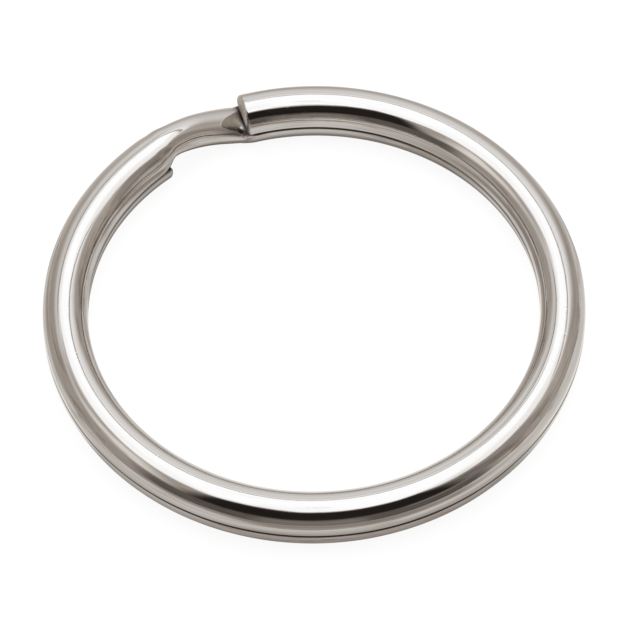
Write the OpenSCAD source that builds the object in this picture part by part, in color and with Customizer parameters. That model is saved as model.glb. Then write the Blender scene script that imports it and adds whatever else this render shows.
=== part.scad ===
// Split key ring, wound from one steel wire.
//
// Two flat turns lie on each other. Each has a D-shaped section: a round crown outside and
// a flat face towards the other turn. At the crossover the wire leaves the upper turn,
// slopes down between the two cut ends and passes under the upper end to become the lower
// turn. Keys are wound on by lifting a cut end and sliding them round both turns.
//
// The ring lies flat. Its origin is at its centre, on the surface that it rests on.

/* [Ring] */
// Outer diameter of the ring
ring_od = 30; // [24:0.5:50]
// Direction of the middle of the crossover, anticlockwise from +X
crossover_angle = 117.35; // [0:0.05:360]

/* [Wire] */
// Width of the wire in the two turns, across the ring
wire_w = 2.5; // [1.8:0.05:2.7]
// Height of one turn, from its flat face to its crown
turn_h = 1.5; // [1.4:0.05:2.2]
// Clearance between the flat faces of the two turns
turn_gap = 0.04; // [0.02:0.01:0.2]
// Rounding of the edges of the flat face
edge_r = 0.12; // [0.05:0.01:0.2]
// Rounding of the edge of each cut end
end_round = 0.18; // [0.05:0.01:0.25]

/* [Crossover] */
// Distance between the two cut ends, along the middle of the wire
end_spacing = 5.3; // [4:0.1:9]
// Length before the lower end over which the wire starts to leave its turn
lead_in = 1.4; // [0.6:0.1:3]
// Length over which the wire widens again under the upper end
lead_out = 1.5; // [0.8:0.1:3]
// Width of the wire at its slimmest
slim_w = 1.9; // [1.4:0.05:2.2]
// Distance of the slimmest place past the lower end
slim_at = 1.05; // [0.6:0.05:2]
// Outward shift of the wire at the foot of the slope
bow = 0.35; // [0:0.01:0.4]
// Extra clearance under the edge of the upper end
end_dip = 0.08; // [0:0.01:0.15]

/* [Hidden] */

// Steps of a half section, of each rounded edge in it and of the flat between them
corner_steps = 3;
flat_steps = 8;
half_steps = flat_steps + 2 * corner_steps + 2;
// Distance between two sections of the crossover, along the wire
section_step = 0.3;
// Facets of the crown's full circle and of a full turn
crown_facets = 96;
turn_facets = 180;
// Angle between two sections of a cut end's rounded edge
end_step = 30;
// What a blend overlaps the turn that carries it, and how much slimmer it starts there
seat_depth = 0.4;
seat_inset = 0.01;
// Shares of the slope's length in which the crown bends into it and levels out at the foot
crown_entry = 0.52;
crown_exit = 0.13;
// The same two shares for the belly, the underside of the slope
belly_entry = 0.06;
belly_exit = 0.26;
// How far past the lower end the belly starts down, and past the upper end the crown levels out
belly_start = 0.3;
crown_overrun = 0.4;
// Share of the lead-in that is left when the wire starts to narrow
narrow_share = 0.65;
// How far before and past the lower end the flat fades into the round belly
flat_fade = 0.4;
// How far before the upper end the wire is shifted most, and past it the shift has gone
bow_before = 0.45;
bow_after = 0.55;
// How far before the upper end the flat starts to come back, and past it is complete
flat_before = 0.3;
flat_after = 0.6;
// Share of the slope's height that lies below its widest line
slope_waist = 0.4;

ring_r = (ring_od - wire_w) / 2;
crown_r = wire_w / 2;
side_h = turn_h - crown_r;
level_drop = turn_h + turn_gap;
upper_flat_z = turn_h + turn_gap;
degrees_per_mm = 180 / (PI * ring_r);
lap = 2 * PI * ring_r;
lower_end_angle = crossover_angle + end_spacing / 2 * degrees_per_mm;
crown_end = end_spacing + crown_overrun;
crossover_end = end_spacing + lead_out;

// Smooth step from 0 to 1
function ease(t) = let (c = min(1, max(0, t))) c * c * (3 - 2 * c);

// Ramp from 0 to 1 that bends in over the share `entry` and levels out over the share `leave`
function ramp(t, entry, leave) =
    let (c = min(1, max(0, t)), slope = 1 / (1 - entry / 2 - leave / 2))
    c < entry ? slope * c * c / (2 * entry)
    : c > 1 - leave ? 1 - slope * (1 - c) * (1 - c) / (2 * leave)
    : slope * (c - entry / 2);

// Rise from 0 at `from` to 1 at `top`, and back to 0 at `to`
function bump(s, from, top, to) =
    s < top ? ease((s - from) / (top - from)) : ease((to - s) / (to - top));

// Value between two others
function mix(a, b, share) = a + (b - a) * share;

// Round half of a section: half an ellipse from the outer side to the inner side
function round_half(half_w, h) = [
    for (i = [0 : half_steps]) let (a = 180 * i / half_steps) [half_w * cos(a), h * sin(a)]
];

// One rounded edge of the flat half, from the side to the flat
function edge(half_w, h) = [
    for (i = [0 : corner_steps]) let (a = 90 * i / corner_steps)
        [half_w - edge_r * (1 - cos(a)), h - edge_r * (1 - sin(a))]
];

// Flat half of a section: side, rounded edge, flat, and the same again on the inner side
function flat_half(half_w, h) =
    let (outer = edge(half_w, h), flat_w = half_w - edge_r)
    concat(
        [[half_w, 0]],
        outer,
        [for (i = [1 : flat_steps - 1]) [flat_w * (1 - 2 * i / flat_steps), h]],
        [for (i = [corner_steps : -1 : 0]) [-outer[i].x, outer[i].y]],
        [[-half_w, 0]]
    );

// Half of a section between the two, as flat as `flatness` says
function half(half_w, h, flatness) =
    let (round_points = round_half(half_w, h), flat_points = flat_half(half_w, h))
    [for (i = [0 : half_steps]) mix(round_points[i], flat_points[i], flatness)];

// Closed section of two halves that meet at the waist, the widest line
function section(top, bottom, waist) = concat(
    [for (q = top) [q.x, waist + q.y]],
    [for (i = [half_steps - 1 : -1 : 1]) [bottom[i].x, waist - bottom[i].y]]
);

// Section of a turn, with its flat face at z = 0 and its crown above
function turn_section() = section(half(crown_r, crown_r, 0), half(crown_r, side_h, 1), side_h);

// A section made slimmer all round by `inset`, about the middle of the turn's section
function shrink(points, inset) = [
    for (q = points) [
        q.x * (1 - inset / crown_r),
        turn_h / 2 + (q.y - turn_h / 2) * (1 - inset / (turn_h / 2))
    ]
];

// The same section upside down, walked the same way round
function flip(points) = [
    for (i = [1 : len(points)]) let (q = points[len(points) - i]) [q.x, turn_h - q.y]
];

// A section stood `s` past the lower end along the wire and lifted to z, as 3-D points
function stand(points, s, z = 0) = let (a = lower_end_angle - s * degrees_per_mm) [
    for (q = points) [(ring_r + q.x) * cos(a), (ring_r + q.x) * sin(a), z + q.y]
];

// Section of the wire on the crossover, `s` past the lower end along the wire
function crossover_section(s) =
    let (
        crown = ramp(s / crown_end, crown_entry, crown_exit),
        belly = ramp((s - belly_start) / (end_spacing - belly_start), belly_entry, belly_exit),
        rise = ease((s - crown_end) / (crossover_end - crown_end)),
        slim = bump(s, -lead_in * narrow_share, slim_at, crossover_end),
        shift = bow * bump(s, -lead_in, end_spacing - bow_before, end_spacing + bow_after),
        upper_half = s < end_spacing / 2,
        flatness = upper_half ? 1 - ease((s + flat_fade) / (2 * flat_fade))
                              : ease((s - end_spacing + flat_before) / (flat_before + flat_after)),
        top = upper_flat_z + turn_h - level_drop * crown - end_dip * (crown - rise),
        bottom = upper_flat_z - level_drop * belly,
        waist_share = mix(slope_waist, upper_half ? side_h / turn_h : crown_r / turn_h, flatness),
        waist = mix(bottom, top, waist_share),
        half_w = mix(wire_w, slim_w, slim) / 2
    )
    [for (q = section(half(half_w, top - waist, upper_half ? 0 : flatness),
                      half(half_w, waist - bottom, upper_half ? flatness : 0), waist))
        [q.x + shift, q.y]];

// Closed end of a skin, as upright strips between the two half curves of a section
function cap(n) = [
    [0, 1, n - 1],
    for (i = [1 : n / 2 - 2]) [i, i + 1, n - i - 1, n - i],
    [n / 2 - 1, n / 2, n / 2 + 1]
];

// Solid through a list of rings of points
module skin(rings) {
    n = len(rings[0]);
    last = len(rings) - 1;
    polyhedron(
        points = [for (ring = rings) each ring],
        faces = [
            each cap(n),
            for (k = [0 : last - 1], i = [0 : n - 1])
                let (j = (i + 1) % n) [k * n + i, (k + 1) * n + i, (k + 1) * n + j, k * n + j],
            for (strip = cap(n)) [for (i = [len(strip) - 1 : -1 : 0]) last * n + strip[i]]
        ]
    );
}

// D-shaped profile of one turn, at its place beside the axis, with its flat face at z = 0.
// The flat half has a roof that reaches into the crown, so that the two halves overlap.
module turn_profile() {
    half_points = flat_half(crown_r, side_h);
    roof = [0, -crown_r / 2];
    translate([ring_r, side_h]) {
        intersection() {
            circle(r = crown_r, $fn = crown_facets);
            translate([-wire_w, 0]) square([2 * wire_w, wire_w]);
        }
        polygon([for (q = concat(half_points, [roof])) [q.x, -q.y]]);
    }
}

// One turn with its crown up, between two places along the wire, one lap apart or less
module turn(from, to) {
    start = lower_end_angle - to * degrees_per_mm;
    rotate_extrude(start = start, angle = (to - from) * degrees_per_mm, $fn = turn_facets)
        turn_profile();
}

// Rings of a cut end at s = 0 that faces back along the wire, with a rounded edge
function end_rings(points) = concat(
    [
        for (a = [0 : end_step : 90])
            [end_round * (1 - cos(a)), shrink(points, end_round * (1 - sin(a)) + seat_inset)]
    ],
    [[seat_depth, shrink(points, seat_inset)]]
);

// Upper turn, from the upper end round to the crossover
module upper_turn() {
    points = turn_section();
    translate([0, 0, upper_flat_z]) {
        turn(end_spacing + end_round - seat_inset, lap - lead_in);
        skin([for (ring = end_rings(points)) stand(ring[1], end_spacing + ring[0])]);
    }
}

// Lower turn, from the crossover round to the lower end
module lower_turn() {
    rings = end_rings(flip(turn_section()));
    last = len(rings) - 1;
    translate([0, 0, turn_h]) mirror([0, 0, 1])
        turn(crossover_end, lap - end_round + seat_inset);
    skin([for (k = [last : -1 : 0]) stand(rings[k][1], -rings[k][0])]);
}

// The sloping stretch between the two turns
module crossover() {
    steps = ceil((crossover_end + lead_in) / section_step);
    function at(k) = -lead_in + (crossover_end + lead_in) * k / steps;
    upper_seat = [for (q = shrink(turn_section(), seat_inset)) [q.x, q.y + upper_flat_z]];
    lower_seat = crossover_section(crossover_end);
    skin(concat(
        [stand(upper_seat, -lead_in - seat_depth), stand(upper_seat, -lead_in + seat_inset)],
        [for (k = [1 : steps - 1]) stand(crossover_section(at(k)), at(k))],
        [for (s = [crossover_end - seat_inset, crossover_end + seat_depth])
            stand(shrink(lower_seat, seat_inset), s)]
    ));
}

module split_ring() {
    color("silver") {
        upper_turn();
        lower_turn();
        crossover();
    }
}

split_ring();
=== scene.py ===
"""Looks for the wound split ring: the drawn wire, its nickel plate, the light tent and the camera."""

import logging
import math
from dataclasses import dataclass
from enum import Enum
from typing import Any, Callable

import bpy
from mathutils import Matrix, Vector

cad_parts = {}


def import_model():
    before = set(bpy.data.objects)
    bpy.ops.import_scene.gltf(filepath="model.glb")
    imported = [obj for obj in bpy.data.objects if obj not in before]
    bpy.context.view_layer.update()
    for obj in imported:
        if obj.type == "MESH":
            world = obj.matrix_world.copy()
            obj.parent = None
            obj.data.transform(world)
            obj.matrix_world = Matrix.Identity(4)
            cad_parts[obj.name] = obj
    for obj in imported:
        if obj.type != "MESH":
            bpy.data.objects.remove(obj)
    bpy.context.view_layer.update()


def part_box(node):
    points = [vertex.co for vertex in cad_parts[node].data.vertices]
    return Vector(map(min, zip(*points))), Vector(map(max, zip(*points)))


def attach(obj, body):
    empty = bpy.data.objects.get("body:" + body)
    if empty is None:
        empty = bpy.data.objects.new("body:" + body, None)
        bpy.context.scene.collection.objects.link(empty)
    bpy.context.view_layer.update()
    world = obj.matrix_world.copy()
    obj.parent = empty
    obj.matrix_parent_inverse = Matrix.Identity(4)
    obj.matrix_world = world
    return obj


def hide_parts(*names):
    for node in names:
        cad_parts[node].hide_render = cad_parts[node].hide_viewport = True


LOG = logging.getLogger("split_ring")
MM = 0.001
NODE = "split_ring"
# Keeps a whole quotient from being rounded down to the row before it
ROW_GUARD = 0.0001

Colour = tuple[float, float, float]


class Socket:
    """A node socket that takes part in Python arithmetic, one Math node per operation."""

    def __init__(self, plan: "Plan", source: bpy.types.NodeSocket) -> None:
        """Wrap a socket.

        Args:
            plan: The node plan that the socket belongs to.
            source: The output socket.
        """
        self.plan = plan
        self.source = source

    def __add__(self, other: "Term") -> "Socket":
        """Sum."""
        return self.plan.math("ADD", self, other)

    def __radd__(self, other: "Term") -> "Socket":
        """Sum, with a number first."""
        return self.plan.math("ADD", other, self)

    def __sub__(self, other: "Term") -> "Socket":
        """Difference."""
        return self.plan.math("SUBTRACT", self, other)

    def __rsub__(self, other: "Term") -> "Socket":
        """Difference, with a number first."""
        return self.plan.math("SUBTRACT", other, self)

    def __mul__(self, other: "Term") -> "Socket":
        """Product."""
        return self.plan.math("MULTIPLY", self, other)

    def __rmul__(self, other: "Term") -> "Socket":
        """Product, with a number first."""
        return self.plan.math("MULTIPLY", other, self)

    def __truediv__(self, other: "Term") -> "Socket":
        """Quotient."""
        return self.plan.math("DIVIDE", self, other)

    def __neg__(self) -> "Socket":
        """Negative."""
        return self.plan.math("MULTIPLY", self, -1.0)

    def __abs__(self) -> "Socket":
        """Size without sign."""
        return self.plan.math("ABSOLUTE", self)

    def least(self, other: "Term") -> "Socket":
        """The smaller of two values."""
        return self.plan.math("MINIMUM", self, other)

    def most(self, other: "Term") -> "Socket":
        """The larger of two values."""
        return self.plan.math("MAXIMUM", self, other)

    def clamped(self) -> "Socket":
        """The value held between 0 and 1."""
        return self.least(1.0).most(0.0)

    def below(self, other: "Term") -> "Socket":
        """1 where this is less than the other, else 0."""
        return self.plan.math("LESS_THAN", self, other)

    def sine(self) -> "Socket":
        """Sine of an angle in radians."""
        return self.plan.math("SINE", self)

    def cosine(self) -> "Socket":
        """Cosine of an angle in radians."""
        return self.plan.math("COSINE", self)

    def floored(self) -> "Socket":
        """Whole part."""
        return self.plan.math("FLOOR", self)

    def eased(self) -> "Socket":
        """Smooth step of the value held between 0 and 1."""
        held = self.clamped()
        return held * held * (3.0 - 2.0 * held)

    def towards(self, other: "Term", share: "Term") -> "Socket":
        """The value moved by a share of the way to another."""
        return self + (other - self) * share


Term = Socket | float


class Plan:
    """A node tree under construction, for geometry or for a shader."""

    def __init__(self, tree: bpy.types.NodeTree) -> None:
        """Wrap an empty tree.

        Args:
            tree: The node tree to fill.
        """
        self.tree = tree

    def node(self, kind: str, settings: dict[str, Any] | None = None,
             values: dict[Any, Any] | None = None) -> bpy.types.Node:
        """Add a node.

        Args:
            kind: The node's type name.
            settings: Properties of the node, set before its sockets are used.
            values: Input name or number to a value, a socket or a wrapped socket.

        Returns:
            The node.
        """
        made = self.tree.nodes.new(kind)
        for name, value in (settings or {}).items():
            setattr(made, name, value)
        for name, value in (values or {}).items():
            self.feed(made.inputs[name], value)
        return made

    def feed(self, target: bpy.types.NodeSocket, value: Any) -> None:
        """Link a socket or write a constant.

        Args:
            target: The input socket.
            value: A wrapped socket, a plain socket or a constant.
        """
        if isinstance(value, Socket):
            value = value.source
        if isinstance(value, bpy.types.NodeSocket):
            self.tree.links.new(value, target)
        else:
            target.default_value = value

    def out(self, made: bpy.types.Node, name: str | int = 0) -> Socket:
        """An output of a node, wrapped."""
        return Socket(self, made.outputs[name])

    def math(self, operation: str, *terms: Term) -> Socket:
        """A Math node on one or two terms, wrapped."""
        made = self.node("ShaderNodeMath", {"operation": operation}, dict(enumerate(terms)))
        return self.out(made)

    def triple(self, x: Term, y: Term, z: Term) -> Socket:
        """Three numbers joined into a vector."""
        return self.out(self.node("ShaderNodeCombineXYZ", values={0: x, 1: y, 2: z}))


@dataclass
class WoundWire:
    """The wire of the ring: two turns, the crossover and the two cut ends.

    Lengths are in metres. Places along the wire are lengths past the lower end. `bends` are the
    shares of a ramp that bend in and level out, a `window` reaches before and past the upper end,
    and the shares of a half section are its upright side and its rounded edge.
    """

    outer_diameter: float
    height: float
    wire_width: float = 2.5 * MM
    turn_gap: float = 0.04 * MM
    edge_radius: float = 0.12 * MM
    end_rounding: float = 0.18 * MM
    crossover_angle: float = math.radians(117.35)
    end_spacing: float = 5.3 * MM
    lead_in: float = 1.4 * MM
    lead_out: float = 1.5 * MM
    slim_width: float = 1.9 * MM
    slim_at: float = 1.05 * MM
    bow: float = 0.35 * MM
    end_dip: float = 0.08 * MM
    crown_bends: tuple[float, float] = (0.52, 0.13)
    belly_bends: tuple[float, float] = (0.06, 0.26)
    belly_start: float = 0.3 * MM
    crown_overrun: float = 0.4 * MM
    narrow_share: float = 0.65
    flat_fade: float = 0.4 * MM
    bow_window: tuple[float, float] = (0.45 * MM, 0.55 * MM)
    flat_window: tuple[float, float] = (0.3 * MM, 0.6 * MM)
    slope_waist: float = 0.4
    pinch_before: float = 0.28 * MM
    pinch_after: float = 0.5 * MM
    rings: int = 880
    ring_points: int = 64
    end_steps: int = 6
    cap_steps: int = 5
    side_share: float = 1 / 16
    edge_share: float = 3 / 16
    weld_distance: float = 0.0001 * MM

    @property
    def turn_height(self) -> float:
        """Height of one turn."""
        return (self.height - self.turn_gap) / 2

    @property
    def ring_radius(self) -> float:
        """Radius of the wire's middle line."""
        return (self.outer_diameter - self.wire_width) / 2

    def sizes(self) -> dict[str, float]:
        """Named inputs of the wire's node tree, with their values.

        Returns:
            Input name to value.
        """
        return {
            "Ring radius": self.ring_radius,
            "Wire width": self.wire_width,
            "Turn height": self.turn_height,
            "Turn gap": self.turn_gap,
            "Edge radius": self.edge_radius,
            "End rounding": self.end_rounding,
            "Lower end angle": self.crossover_angle + self.end_spacing / 2 / self.ring_radius,
            "End spacing": self.end_spacing,
            "Lead in": self.lead_in,
            "Lead out": self.lead_out,
            "Slim width": self.slim_width,
            "Slim at": self.slim_at,
            "Bow": self.bow,
            "End dip": self.end_dip,
        }

    def make(self, finish: bpy.types.Material) -> bpy.types.Object:
        """Build the wire as a plain closed mesh.

        Args:
            finish: Material of the wire.

        Returns:
            The wire's object, at the origin.
        """
        tree, identifiers = self.grow_tree()
        seed = bpy.data.meshes.new("wire_seed")
        host = bpy.data.objects.new("wire_host", seed)
        bpy.context.scene.collection.objects.link(host)
        modifier = host.modifiers.new("wound_wire", "NODES")
        modifier.node_group = tree
        for name, value in self.sizes().items():
            modifier[identifiers[name]] = value
        modifier[identifiers["Finish"]] = finish
        depsgraph = bpy.context.evaluated_depsgraph_get()
        mesh = bpy.data.meshes.new_from_object(host.evaluated_get(depsgraph))
        bpy.data.objects.remove(host)
        mesh.name = "wound_wire"
        wire = bpy.data.objects.new("wound_wire", mesh)
        bpy.context.scene.collection.objects.link(wire)
        return wire

    def grow_tree(self) -> tuple[bpy.types.NodeTree, dict[str, str]]:
        """Build the node tree that winds the wire.

        Returns:
            The tree, and each input's name to its identifier.
        """
        tree = bpy.data.node_groups.new("wound_wire", "GeometryNodeTree")
        plan = Plan(tree)
        identifiers = {}
        for name in self.sizes():
            made = tree.interface.new_socket(name, in_out="INPUT", socket_type="NodeSocketFloat")
            identifiers[name] = made.identifier
        made = tree.interface.new_socket("Finish", in_out="INPUT",
                                         socket_type="NodeSocketMaterial")
        identifiers["Finish"] = made.identifier
        tree.interface.new_socket("Wire", in_out="OUTPUT", socket_type="NodeSocketGeometry")
        entry = plan.node("NodeGroupInput")
        size = {name: plan.out(entry, name) for name in self.sizes()}

        grid = plan.node("GeometryNodeMeshGrid",
                         values={"Vertices X": self.rings, "Vertices Y": self.ring_points + 1})
        place, along, around, face, groove = self.wind(plan, size)
        geometry = grid.outputs["Mesh"]
        for name, value in (("along", along), ("around", around), ("cut_face", face),
                            ("groove", groove)):
            geometry = plan.node("GeometryNodeStoreNamedAttribute",
                                 {"data_type": "FLOAT", "domain": "POINT"},
                                 {"Geometry": geometry, "Name": name,
                                  "Value": value}).outputs[0]
        kept = [plan.out(plan.node("GeometryNodeInputNamedAttribute", {"data_type": "FLOAT"},
                                   {"Name": name}), "Attribute") for name in ("along", "around")]
        geometry = plan.node("GeometryNodeStoreNamedAttribute",
                             {"data_type": "FLOAT2", "domain": "CORNER"},
                             {"Geometry": geometry, "Name": "wire_map",
                              "Value": plan.triple(kept[0] / MM, kept[1], 0.0)}).outputs[0]
        geometry = plan.node("GeometryNodeSetPosition",
                             values={"Geometry": geometry, "Position": place}).outputs[0]
        geometry = plan.node("GeometryNodeMergeByDistance",
                             values={"Geometry": geometry, "Distance": self.weld_distance}).outputs[0]
        geometry = plan.node("GeometryNodeSetShadeSmooth",
                             values={"Geometry": geometry}).outputs[0]
        geometry = plan.node("GeometryNodeRealizeInstances",
                             values={"Geometry": geometry}).outputs[0]
        geometry = plan.node("GeometryNodeSetMaterial",
                             values={"Geometry": geometry,
                                     "Material": entry.outputs["Finish"]}).outputs[0]
        plan.node("NodeGroupOutput", values={"Wire": geometry})
        return tree, identifiers

    def wind(self, plan: Plan, size: dict[str, Socket]) -> tuple[Socket, ...]:
        """Place each grid point on the wire's surface.

        Args:
            plan: The node plan to add to.
            size: The tree's named inputs.

        Returns:
            The point's position, its length along the wire past the lower end, its share of the way
            round the section, how far it belongs to a cut face, and how much painted shade it takes
            in the groove between the turns and beneath the upper cut end.
        """
        index = plan.out(plan.node("GeometryNodeInputIndex"))
        row = (index / float(self.ring_points + 1) + ROW_GUARD).floored()
        around = (index - row * float(self.ring_points + 1)) / float(self.ring_points)

        last = float(self.rings - 1)
        from_end = row.least(last - row)
        cap = (from_end / float(self.cap_steps)).clamped()
        rounding = ((from_end - float(self.cap_steps)) / float(self.end_steps)).clamped()
        turn = rounding * (math.pi / 2)
        retreat = size["End rounding"] * (1.0 - turn.cosine())
        inset = size["End rounding"] * (1.0 - turn.sine())
        trimmed = float(self.cap_steps + self.end_steps)
        share = ((row - trimmed) / (last - 2.0 * trimmed)).clamped()
        lap = size["Ring radius"] * (2 * math.pi)
        start = size["End spacing"] - lap + retreat
        along = start.towards(lap - retreat, share)

        x, z, middle, flat = self.section(size, along, around)
        crown = size["Wire width"] / 2.0
        x = x * (1.0 - inset / crown) * cap
        z = middle + (z - middle) * (1.0 - inset / (size["Turn height"] / 2.0)) * cap
        before, after = self.bow_window
        shift = size["Bow"] * self.bump(along, -size["Lead in"], size["End spacing"] - before,
                                        size["End spacing"] + after)
        reach = size["Ring radius"] + x + shift
        angle = size["Lower end angle"] - along / size["Ring radius"]
        place = plan.triple(reach * angle.cosine(), reach * angle.sine(), z)
        # groove is where shade is painted: on the faces that meet between the turns, and on the crown
        # beneath the upper cut end.
        near = (1.0 - abs(2.0 * around - 1.0)).least(abs(2.0 * around - 1.0))
        pinch = self.bump(along, size["End spacing"] - self.pinch_before,
                          size["End spacing"] - size["End dip"],
                          size["End spacing"] + self.pinch_after)
        top = ((near - self.side_share) * around.below(0.5) / self.edge_share).eased()
        groove = (flat * ((near - self.side_share) / self.edge_share).eased() * rounding
                  ).most(pinch * top)
        return place, along, around, 1.0 - rounding, groove

    def section(self, size: dict[str, Socket], along: Socket,
                around: Socket) -> tuple[Socket, Socket, Socket, Socket]:
        """Work out the section of the wire.

        Args:
            size: The tree's named inputs.
            along: Length along the wire past the lower end.
            around: Share of the way round the section, from the outer side over the crown.

        Returns:
            Distance outwards from the middle line, height, the height of the middle, and how
            far the point belongs to a flat half.
        """
        spacing, turn_h = size["End spacing"], size["Turn height"]
        drop = turn_h + size["Turn gap"]
        finish = spacing + size["Lead out"]
        crown = size["Wire width"] / 2.0
        side = turn_h - crown

        crown_end = spacing + self.crown_overrun
        crown_drop = self.ramp(along / crown_end, *self.crown_bends)
        belly_drop = self.ramp((along - self.belly_start) / (spacing - self.belly_start),
                               *self.belly_bends)
        rise = ((along - crown_end) / (finish - crown_end)).eased()
        slim = self.bump(along, size["Lead in"] * -self.narrow_share, size["Slim at"], finish)
        upper = along.below(spacing / 2.0)
        before, after = self.flat_window
        flat_above = ((along - spacing + before) / (before + after)).eased()
        flat_below = 1.0 - ((along + self.flat_fade) / (2.0 * self.flat_fade)).eased()
        flatness = flat_above.towards(flat_below, upper)
        top = drop + turn_h - drop * crown_drop - size["End dip"] * (crown_drop - rise)
        bottom = drop - drop * belly_drop
        settled = (crown / turn_h).towards(side / turn_h, upper)
        waist = bottom.towards(top, (settled - self.slope_waist) * flatness + self.slope_waist)
        half_w = (size["Wire width"] + (size["Slim width"] - size["Wire width"]) * slim) / 2.0

        over = around.below(0.5)
        across = 1.0 - abs(2.0 * around - 1.0)
        half_h = (waist - bottom).towards(top - waist, over)
        flat = flatness * (1.0 - upper).towards(upper, 1.0 - over)
        round_x = half_w * (across * math.pi).cosine()
        round_y = half_h * (across * math.pi).sine()
        flat_x, flat_y = self.flat_half(size["Edge radius"], half_w, half_h, across)
        x = round_x.towards(flat_x, flat)
        y = round_y.towards(flat_y, flat)
        z = waist + y * (2.0 * over - 1.0)
        return x, z, (top + bottom) / 2.0, flat

    def flat_half(self, radius: Socket, half_w: Socket, half_h: Socket,
                  across: Socket) -> tuple[Socket, Socket]:
        """Half of a section with a flat face and rounded edges.

        Args:
            radius: Rounding of the flat face's edges.
            half_w: Half of the section's width.
            half_h: Height of this half above the waist.
            across: Share of the way from the outer to the inner side.

        Returns:
            Distance outwards and height above the waist.
        """
        near = across.least(1.0 - across)
        outwards = 2.0 * across.below(0.5) - 1.0
        rise = (near / self.side_share).least(1.0)
        bend = ((near - self.side_share) / self.edge_share).clamped() * (math.pi / 2)
        flat_share = 0.5 - self.side_share - self.edge_share
        inwards = ((near - self.side_share - self.edge_share) / flat_share).clamped()
        x = (half_w - radius * (1.0 - bend.cosine())) * (1.0 - inwards) * outwards
        y = (half_h - radius) * rise + radius * bend.sine()
        return x, y

    @staticmethod
    def ramp(share: Socket, entry: float, leave: float) -> Socket:
        """Ramp from 0 to 1 that bends in at its start and levels out at its end.

        Args:
            share: Place on the ramp, held between 0 and 1.
            entry: Share of the ramp that bends in.
            leave: Share of the ramp that levels out.

        Returns:
            The ramp's height.
        """
        held = share.clamped()
        slope = 1.0 / (1.0 - entry / 2 - leave / 2)
        bent = held.least(entry)
        left = (held - (1.0 - leave)).most(0.0)
        straight = held - bent - left
        return (bent * bent * (slope / (2 * entry)) + straight * slope
                + left * (2.0 * leave - left) * (slope / (2 * leave)))

    @staticmethod
    def bump(along: Socket, start: Term, top: Term, end: Term) -> Socket:
        """Rise from 0 at one place to 1 at the next and back to 0 at the last.

        Args:
            along: Length along the wire.
            start: Where the rise begins.
            top: Where it is 1.
            end: Where it is 0 again.

        Returns:
            The height of the bump.
        """
        rise = ((along - start) / (top - start)).eased()
        fall = ((end - along) / (end - top)).eased()
        return rise.least(fall)


@dataclass(frozen=True)
class Grain:
    """Noise that follows the wire's skin, and the range in which it shows.

    Its frequencies are per millimetre along the wire and per crown radius round it.
    """

    lengthwise: float
    crosswise: float
    detail: float = 2.0
    roughness: float = 0.5
    start: float = 0.0
    gain: float = 1.0
    shift: float = 0.0

    def spread(self, skin: "Skin") -> Socket:
        """Lay the noise on the skin.

        Args:
            skin: The wire's skin.

        Returns:
            The noise between 0 and 1.
        """
        place = skin.plan.triple(skin.along * self.lengthwise + self.shift,
                                 skin.side * self.crosswise, skin.rise * self.crosswise)
        noise = skin.plan.node("ShaderNodeTexNoise", {},
                               {"Vector": place, "Scale": 1.0, "Detail": self.detail,
                                "Roughness": self.roughness})
        return ((skin.plan.out(noise) - self.start) * self.gain).clamped()


class Skin:
    """The wire's skin in a material: length along it, and where a point lies round it."""

    def __init__(self, plan: Plan) -> None:
        """Read the wire's map.

        Args:
            plan: The material's node plan.
        """
        self.plan = plan
        chart = plan.node("ShaderNodeUVMap", {"uv_map": "wire_map"})
        parts = plan.node("ShaderNodeSeparateXYZ", values={0: chart.outputs[0]})
        turn = plan.out(parts, 1) * (2 * math.pi)
        self.along = plan.out(parts, 0)
        self.side, self.rise = turn.cosine(), turn.sine()

    def carried(self, name: str) -> Socket:
        """A value that the wire's points carry."""
        return self.plan.out(self.plan.node("ShaderNodeAttribute", {"attribute_name": name}), "Fac")


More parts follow.
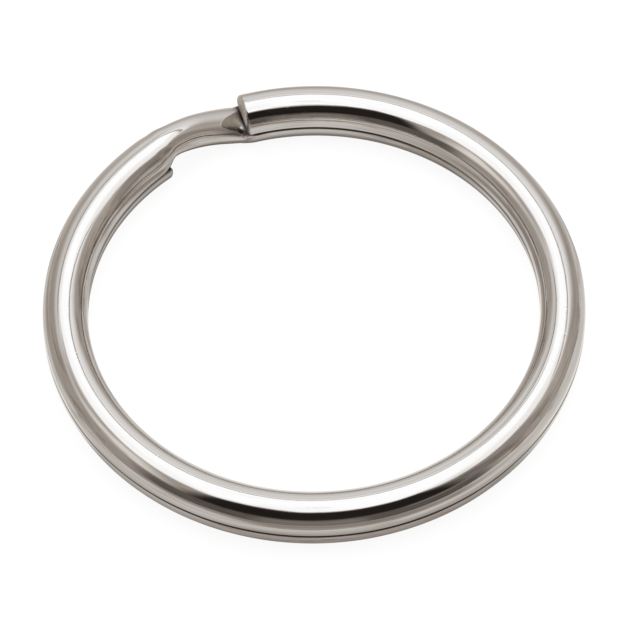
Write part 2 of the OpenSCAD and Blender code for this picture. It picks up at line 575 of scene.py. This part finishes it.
@dataclass(frozen=True)
class NickelPlate:
    """Bright nickel plate on drawn wire: lines along it, brown bloom, and painted shade in the
    groove.

    Heights and depths of the relief are in millimetres.
    """

    name: str = "nickel_plate"
    clean: Colour = (0.74, 0.71, 0.675)
    bloom: Colour = (0.40, 0.335, 0.28)
    sheared: Colour = (0.50, 0.445, 0.375)
    # Painted shade in the groove between the turns and beneath the upper cut end
    groove_shade: Colour = (0.022, 0.018, 0.015)

    blotches: Grain = Grain(0.34, 5.0, 5.0, 0.68, start=0.47, gain=6.0)
    veil: Grain = Grain(0.09, 1.2, start=0.40, gain=4.5, shift=37.0)
    drawn: Grain = Grain(0.10, 17.0, 3.0, 0.6)
    drawn_start: float = 0.49
    drawn_gain: float = 6.0
    fine: Grain = Grain(0.6, 60.0, 2.0, 0.6)
    dull: Grain = Grain(0.3, 1.7, 3.0, start=0.48, gain=5.0, shift=80.0)
    shear: Grain = Grain(3.0, 9.0, 4.0, 0.7)
    waves: Grain = Grain(0.42, 1.7, 1.0)
    dents: Grain = Grain(1.6, 5.0)
    worn: Grain = Grain(0.8, 2.4, 1.0, start=0.52, gain=9.0, shift=11.0)

    polish: float = 0.045
    line_dullness: float = 0.04
    haze: float = 0.035
    bloom_dullness: float = 0.05
    scratch_dullness: float = 0.10
    cut_dullness: tuple[float, float] = (0.22, 0.20)
    groove_shade_dullness: float = 0.5

    flank_start: float = 0.30
    flank_gain: float = 2.2
    crown_share: float = 0.12
    blotch_strength: float = 0.85
    line_strength: float = 0.36
    speck_strength: float = 0.35

    wave_height: float = 0.0045
    dent_height: float = 0.0012
    line_height: float = 0.00030
    fine_share: float = 0.4
    cut_height: float = 0.03
    sheared_share: float = 0.5
    scratch_depth: float = 0.0006
    scratch_width: float = 0.012
    scratch_lengthwise: tuple[float, float] = (1.3, 0.7)
    scratch_crosswise: tuple[float, float, float] = (2.2, 1.4, 0.9)

    def material(self) -> bpy.types.Material:
        """Build the material.

        Returns:
            The material.
        """
        made = bpy.data.materials.new(self.name)
        made.use_nodes = True
        made.node_tree.nodes.clear()
        plan = Plan(made.node_tree)
        skin = Skin(plan)
        cut, groove = skin.carried("cut_face"), skin.carried("groove")
        drawn, shear = self.drawn.spread(skin), self.shear.spread(skin)
        line = ((drawn - self.drawn_start) * self.drawn_gain).clamped()
        scratch = self.scratches(skin)
        brown = self.tarnish(skin, line)

        first, more = self.cut_dullness
        rough = (self.polish + self.line_dullness * line + self.haze * self.dull.spread(skin)
                 + self.bloom_dullness * brown + self.scratch_dullness * scratch)
        rough = rough.towards(first + more * shear, cut).towards(self.groove_shade_dullness, groove)
        colour = self.blend(plan, brown, self.clean, self.bloom)
        torn = self.sheared_share + (1.0 - self.sheared_share) * shear
        colour = self.blend(plan, cut * torn, colour, self.sheared)
        # Painted shade: the groove between the turns and the crown beneath the upper cut end go near
        # black.
        colour = self.blend(plan, groove, colour, self.groove_shade)

        height = (self.waves.spread(skin) * self.wave_height
                  + self.dents.spread(skin) * self.dent_height
                  + (drawn + self.fine.spread(skin) * self.fine_share) * self.line_height
                  + cut * shear * self.cut_height - scratch * self.scratch_depth)
        bump = plan.node("ShaderNodeBump", {},
                         {"Strength": 1.0, "Distance": MM, "Height": height})
        surface = plan.node("ShaderNodeBsdfPrincipled", {},
                            {"Base Color": colour, "Metallic": 1.0, "Roughness": rough,
                             "Normal": bump.outputs[0]})
        plan.node("ShaderNodeOutputMaterial", {}, {"Surface": surface.outputs[0]})
        return made

    def tarnish(self, skin: Skin, line: Socket) -> Socket:
        """Brown bloom, mostly on the flanks, where the crown's polish ends.

        Args:
            skin: The wire's skin.
            line: Strength of the drawn lines.

        Returns:
            Share of brown, between 0 and 1.
        """
        flank = ((abs(skin.side) - self.flank_start) * self.flank_gain).clamped()
        blotch = self.blotches.spread(skin)
        spots = blotch * self.veil.spread(skin) * self.blotch_strength + line * self.line_strength
        shown = flank * (1.0 - self.crown_share) + self.crown_share
        return (spots * shown + blotch * line * flank * self.speck_strength).clamped()

    def scratches(self, skin: Skin) -> Socket:
        """Fine scratches from handling, as thin wandering lines in worn places.

        Args:
            skin: The wire's skin.

        Returns:
            Strength of the scratches, between 0 and 1.
        """
        plan = skin.plan
        (run, veer), (lift, side, rise) = self.scratch_lengthwise, self.scratch_crosswise
        place = plan.triple(skin.along * run + skin.rise * lift,
                            skin.side * side - skin.along * veer, skin.rise * rise)
        field = plan.out(plan.node("ShaderNodeTexNoise", {},
                                   {"Vector": place, "Scale": 1.0, "Detail": 0.0}))
        hair = (1.0 - abs(field - 0.5) / self.scratch_width).clamped()
        return hair * self.worn.spread(skin)

    @staticmethod
    def blend(plan: Plan, share: Socket, first: Any, second: Any) -> bpy.types.NodeSocket:
        """Mix two colours.

        Args:
            plan: The node plan to add to.
            share: Share of the second colour.
            first: A colour, or the socket of one.
            second: A colour, or the socket of one.

        Returns:
            The mixed colour's socket.
        """
        first, second = [(*c, 1.0) if isinstance(c, tuple) else c for c in (first, second)]
        return plan.node("ShaderNodeMix", {"data_type": "RGBA"},
                         {0: share, 6: first, 7: second}).outputs[2]


class Tone(Enum):
    """Brightness of the tent's panels and the mat's patches, as linear colours.

    The levels of all but SLATE, PALE and WHITE follow the fit that the note on `TENT` tells of.
    """

    BLACK = (0.021, 0.017, 0.015)
    SOOT = (0.126, 0.113, 0.103)
    CHARCOAL = (0.232, 0.213, 0.198)
    SLATE = (0.350, 0.318, 0.295)
    TAUPE = (0.435, 0.398, 0.368)
    SAND = (0.565, 0.525, 0.490)
    STONE = (0.715, 0.700, 0.690)
    PALE = (0.93, 0.91, 0.89)
    IVORY = (1.15, 1.165, 1.19)
    CREAM = (1.27, 1.31, 1.36)
    WHITE = (1.34, 1.40, 1.47)


@dataclass(frozen=True)
class Patch:
    """A soft-edged patch of one tone on a round backdrop.

    Its turns are degrees clockwise from +Y seen from above. Its other range, called reach here,
    is degrees above the horizon on the tent and millimetres from the centre on the mat. The
    lean is how many degrees wider each side gets per unit of reach.
    """

    name: str
    tone: Tone
    turn_from: float
    turn_to: float
    near: float
    far: float
    turn_blur: float
    reach_blur: float
    lean: float = 0.0

    def cover(self, turn: float, reach: float) -> float:
        """How much of the patch's tone a place takes.

        Args:
            turn: The place's turn.
            reach: The place's reach.

        Returns:
            A share between 0 and 1.
        """
        middle = (self.turn_from + self.turn_to) / 2
        half = (self.turn_to - self.turn_from) / 2 + self.lean * (reach - (self.near + self.far) / 2)
        away = abs((turn - middle + 180.0) % 360.0 - 180.0)
        across = self.edge((half - away) / self.turn_blur)
        if self.turn_to - self.turn_from >= 360.0:
            across = 1.0
        return (across * self.edge((reach - self.near) / self.reach_blur)
                * self.edge((self.far - reach) / self.reach_blur))

    @staticmethod
    def edge(distance: float) -> float:
        """Soft step across an edge: 0 half a blur outside it, 1 half a blur inside it."""
        held = min(1.0, max(0.0, distance + 0.5))
        return held * held * (3.0 - 2.0 * held)


@dataclass(frozen=True)
class Backdrop:
    """A round surface painted with soft patches, which only polish mirrors."""

    name: str
    base: Tone
    patches: tuple[Patch, ...]

    def colour(self, turn: float, reach: float) -> Colour:
        """Tone of the backdrop at a place.

        Args:
            turn: Degrees clockwise from +Y.
            reach: The place's reach, as for a patch.

        Returns:
            The linear colour.
        """
        shade = self.base.value
        for patch in self.patches:
            share = patch.cover(turn, reach)
            shade = tuple(a + (b - a) * share for a, b in zip(shade, patch.tone.value))
        return shade

    def make(self, reaches: list[float], place: Callable[[float, float], Vector],
             segments: int = 120) -> None:
        """Build the backdrop.

        Args:
            reaches: Reach of each ring of points.
            place: Gives the point at a turn and a reach.
            segments: Points in each ring.
        """
        turns = [360.0 * i / segments for i in range(segments)]
        spots = [(turn, reach) for reach in reaches for turn in turns]
        faces = []
        for k in range(len(reaches) - 1):
            for i in range(segments):
                j = (i + 1) % segments
                faces.append((k * segments + i, k * segments + j,
                              (k + 1) * segments + j, (k + 1) * segments + i))
        mesh = bpy.data.meshes.new(self.name)
        mesh.from_pydata([place(*spot) for spot in spots], [], faces)
        paint = mesh.color_attributes.new("paint", "FLOAT_COLOR", "POINT")
        for sample, spot in zip(paint.data, spots):
            sample.color = (*self.colour(*spot), 1.0)
        mesh.materials.append(self.finish())
        made = bpy.data.objects.new(self.name, mesh)
        bpy.context.scene.collection.objects.link(made)
        made.visible_camera = False
        made.visible_diffuse = False
        made.visible_transmission = False
        made.visible_shadow = False

    def finish(self) -> bpy.types.Material:
        """Evenly glowing paint in the painted tones."""
        made = bpy.data.materials.new(self.name)
        made.use_nodes = True
        made.node_tree.nodes.clear()
        plan = Plan(made.node_tree)
        paint = plan.node("ShaderNodeAttribute", {"attribute_name": "paint"})
        glow = plan.node("ShaderNodeEmission", {}, {"Color": paint.outputs[0], "Strength": 1.0})
        plan.node("ShaderNodeOutputMaterial", {}, {"Surface": glow.outputs[0]})
        return made


# These numbers weren't all chosen by hand, so this table is no example to follow. The rows "back
# wall", "right wall", "right lamp", "left lamp", "left window", "left wall", "back ceiling", "shade"
# and "stand" hold, wholly or in part, the rounded results of a least-squares fit to the surroundings
# that the real ring mirrors. The other rows here and all of MAT were set one by one.
TENT = Backdrop("light_tent", Tone.TAUPE, (
    Patch("back wall", Tone.CREAM, -73, 71, 26, 111, 37, 134, 0.8),
    Patch("right wall", Tone.SAND, 91, 167, -8, 50, 60, 4, 1.3),
    Patch("right lamp", Tone.IVORY, -7, 106, 35, 79, 36, 9, 3.9),
    Patch("left lamp", Tone.CREAM, -73, 6, 39, 71, 45, 5, 5.6),
    Patch("left window", Tone.PALE, 247, 278, 32, 54, 24, 12, -0.8),
    Patch("left wall", Tone.STONE, 285, 364, 30, 41, 60, 7, 0.8),
    Patch("ceiling", Tone.WHITE, 0, 360, 69, 120, 10, 9),
    Patch("back ceiling", Tone.WHITE, -32, 42, 50, 75, 22, 4, 0.9),
    Patch("left hem", Tone.SLATE, -46, -9, 40.2, 43.6, 12, 1.5),
    Patch("far left hem", Tone.SAND, 270, 318, 46.2, 49.4, 14, 1.5),
    Patch("back hem", Tone.TAUPE, -10, 62, 47.6, 50.4, 14, 1.5),
    Patch("shade", Tone.SOOT, 118, 243, -3, 31, 16, 12, 0.1),
    Patch("right screen", Tone.SLATE, 84, 114, 18, 52, 10, 6),
    Patch("right flag", Tone.CHARCOAL, 107, 145, 23, 54, 9, 6, -0.3),
    Patch("flag corner", Tone.SOOT, 196, 226, 50, 70, 18, 6),
    Patch("flag", Tone.BLACK, 125, 230, 28, 66, 13, 7, 0.1),
    Patch("stand", Tone.CHARCOAL, 164, 201, -6, 23, 5, 14, -0.1),
))
# The mat glows though it is no lamp. Its patches paint the table's light and shade as the polish
# mirrors it: bounced light beside the ring, a painted contact shadow under it, and painted shade
# beside and inside it.
MAT = Backdrop("painted_table_light", Tone.SLATE, (
    Patch("right side", Tone.STONE, 45, 135, 15, 900, 40, 4),
    Patch("back side", Tone.SAND, -50, 45, 15, 900, 50, 4),
    Patch("left side", Tone.TAUPE, 245, 295, 15, 900, 30, 4),
    Patch("left bounce", Tone.SAND, 295, 330, 15, 900, 25, 4),
    Patch("outer bounce", Tone.STONE, 0, 360, 16.4, 20, 10, 3.5),
    Patch("front left bounce", Tone.STONE, 200, 258, 16, 27, 20, 5),
    # Painted shade beside the ring's outer rim, on the left and on the right.
    Patch("left rim shade", Tone.CHARCOAL, 286, 303, 14.4, 16.6, 10, 1.4),
    Patch("right rim shade", Tone.CHARCOAL, 50, 77, 14.4, 16.6, 12, 1.4),
    Patch("inside", Tone.SAND, 0, 360, -9, 12.5, 10, 3),
    Patch("inside front", Tone.PALE, 110, 250, 5, 10.5, 50, 3),
    Patch("inside right", Tone.SLATE, -4, 72, -9, 11.2, 20, 2),
    Patch("inside back", Tone.STONE, -85, 22, 6, 12.2, 40, 1.5),
    Patch("inside shadow", Tone.SLATE, -47, -29, 7.2, 11.3, 11, 1.6),
    # Painted contact shadow under the ring.
    Patch("contact shadow", Tone.CHARCOAL, 0, 360, 12.1, 14.8, 10, 1.0),
    Patch("left rim", Tone.PALE, 238, 284, 13.5, 16.5, 12, 0.8),
    Patch("right rim", Tone.PALE, 79, 124, 13.5, 16.5, 12, 0.8),
    Patch("left inner rim", Tone.PALE, 254, 278, 11.2, 13.2, 16, 0.9),
    Patch("back right inner rim", Tone.STONE, 44, 76, 11.0, 12.4, 16, 0.6),
    Patch("right inner rim", Tone.PALE, 70, 112, 11.0, 13.4, 18, 0.9),
))


@dataclass
class Studio:
    """White table under a soft box, inside a light tent that the polish mirrors.

    The tent and the mat hide the sky and the table from the polish, but for a small circle
    overhead and one at the mat's middle. So the ring doesn't mirror the white background.

    Lengths are in metres, apart from the rings of the mat, which are in millimetres. Lifts are
    in degrees above the horizon.
    """

    centre: Vector
    white: float = 1.0
    fill: float = 0.5
    box_height: float = 0.30
    box_width: float = 0.33
    box_depth: float = 0.38
    box_back: float = 0.25
    box_radiance: float = 1.9
    tent_radius: float = 0.60
    floor_radius: float = 1.5
    floor_sides: int = 96
    floor_white: float = 0.13
    floor_glow: float = 0.908
    tent_lifts: tuple[int, int] = (-2, 88)
    mat_lift: float = 0.02 * MM
    mat_step: float = 0.5
    mat_steps: int = 47
    mat_near: float = 24.0
    mat_growth: float = 1.2
    mat_far_steps: int = 18

    def make(self) -> None:
        """Build the world, the soft box, the table, the tent and the mat."""
        self.sky()
        self.soft_box()
        self.table()
        lowest, highest = self.tent_lifts
        TENT.make([float(lift) for lift in range(lowest, highest + 1)], self.on_tent)
        inner = [self.mat_step * k for k in range(1, self.mat_steps + 1)]
        outer = [self.mat_near * self.mat_growth ** k for k in range(1, self.mat_far_steps + 1)]
        MAT.make(inner + outer, self.on_mat)

    def on_tent(self, turn: float, lift: float) -> Vector:
        """Point of the tent at a turn and a height above the horizon, both in degrees."""
        a, b = math.radians(turn), math.radians(lift)
        return self.centre + self.tent_radius * Vector((math.sin(a) * math.cos(b),
                                                        math.cos(a) * math.cos(b), math.sin(b)))

    def on_mat(self, turn: float, reach: float) -> Vector:
        """Point of the mat at a turn in degrees and a distance in millimetres."""
        a = math.radians(turn)
        return Vector((reach * MM * math.sin(a), reach * MM * math.cos(a), -self.mat_lift))

    @staticmethod
    def seen(plan: Plan) -> Socket:
        """1 for rays that show the background: from the camera, off metal or through glass.

        Off the ring it has next to no effect, because the tent and the mat are in the way.
        """
        path = plan.node("ShaderNodeLightPath")
        return (plan.out(path, "Is Camera Ray") + plan.out(path, "Is Glossy Ray")
                + plan.out(path, "Is Transmission Ray")).clamped()

    def sky(self) -> None:
        """White surroundings, which light the table less than they show."""
        world = bpy.data.worlds.new("surroundings")
        bpy.context.scene.world = world
        world.use_nodes = True
        world.node_tree.nodes.clear()
        plan = Plan(world.node_tree)
        level = self.fill + (self.white - self.fill) * self.seen(plan)
        glow = plan.node("ShaderNodeBackground", {},
                         {"Color": (1.0, 1.0, 1.0, 1.0), "Strength": level})
        plan.node("ShaderNodeOutputWorld", {}, {"Surface": glow.outputs[0]})

    def soft_box(self) -> None:
        """Large rectangular lamp overhead, a little towards the back."""
        lamp = bpy.data.lights.new("soft_box", "AREA")
        lamp.shape = "RECTANGLE"
        lamp.size, lamp.size_y = self.box_width, self.box_depth
        lamp.energy = self.box_radiance * math.pi * lamp.size * lamp.size_y
        held = bpy.data.objects.new("soft_box", lamp)
        back = self.box_depth * self.box_back
        held.location = self.centre + Vector((0.0, back, self.box_height))
        bpy.context.scene.collection.objects.link(held)
        held.visible_camera = False
        held.visible_glossy = False

    def table(self) -> None:
        """Round white table top just under the surface that the ring rests on."""
        mesh = bpy.data.meshes.new("table")
        turns = (2 * math.pi * k / self.floor_sides for k in range(self.floor_sides))
        rim = [(self.floor_radius * math.cos(a), self.floor_radius * math.sin(a),
                -2 * self.mat_lift) for a in turns]
        mesh.from_pydata(rim, [], [tuple(range(self.floor_sides))])
        made = bpy.data.materials.new("table_paper")
        made.use_nodes = True
        made.node_tree.nodes.clear()
        plan = Plan(made.node_tree)
        tone = (self.floor_white, self.floor_white, self.floor_white, 1.0)
        paper = plan.node("ShaderNodeBsdfDiffuse", {}, {"Color": tone})
        glow = plan.node("ShaderNodeEmission", {},
                         {"Strength": self.seen(plan) * self.floor_glow})
        both = plan.node("ShaderNodeAddShader", {}, {0: paper.outputs[0], 1: glow.outputs[0]})
        plan.node("ShaderNodeOutputMaterial", {}, {"Surface": both.outputs[0]})
        mesh.materials.append(made)
        table = bpy.data.objects.new("table", mesh)
        bpy.context.scene.collection.objects.link(table)


@dataclass(frozen=True)
class Viewpoint:
    """Camera on the front side, looking down at the ring.

    Angles are in degrees, the distance and the clip start in metres, and the lens and the
    sensor in millimetres. All but the sensor and the clip start come from a least-squares fit
    of a ring's outline.
    """

    elevation: float = 54.85
    roll: float = -1.03
    distance: float = 268.4 * MM
    lens: float = 277.2
    sensor: float = 36.0
    clip_start: float = 0.01
    shift_x: float = 0.0016
    shift_y: float = -0.0108

    def make(self, target: Vector) -> None:
        """Place the camera.

        Args:
            target: The point that the camera's distance is measured from.
        """
        lift, lean = math.radians(self.elevation), math.radians(self.roll)
        ahead = Vector((0.0, math.cos(lift), -math.sin(lift)))
        level = Vector((1.0, 0.0, 0.0))
        upright = level.cross(ahead)
        right = level * math.cos(lean) + upright * math.sin(lean)
        up = upright * math.cos(lean) - level * math.sin(lean)
        lens = bpy.data.cameras.new("camera")
        lens.lens, lens.sensor_width = self.lens, self.sensor
        lens.shift_x, lens.shift_y = self.shift_x, self.shift_y
        lens.clip_start = self.clip_start
        camera = bpy.data.objects.new("camera", lens)
        turn = Matrix((right, up, -ahead)).transposed().to_4x4()
        camera.matrix_world = Matrix.Translation(target - ahead * self.distance) @ turn
        bpy.context.scene.collection.objects.link(camera)
        bpy.context.scene.camera = camera


def main() -> None:
    """Build the ring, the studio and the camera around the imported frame."""
    logging.basicConfig(level=logging.INFO, format="%(name)s: %(message)s")
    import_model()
    low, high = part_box(NODE)

    wire = WoundWire(outer_diameter=2 * high.x, height=high.z)
    ring = wire.make(NickelPlate().material())
    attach(ring, "root")
    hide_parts(NODE)
    LOG.info("wire of %d faces in place of %s", len(ring.data.polygons), NODE)

    middle = Vector((0.0, 0.0, wire.turn_height + wire.turn_gap / 2))
    Studio(centre=middle).make()
    Viewpoint().make(middle)
    bpy.context.scene.view_settings.view_transform = "Standard"


if __name__ == "__main__":
    main()
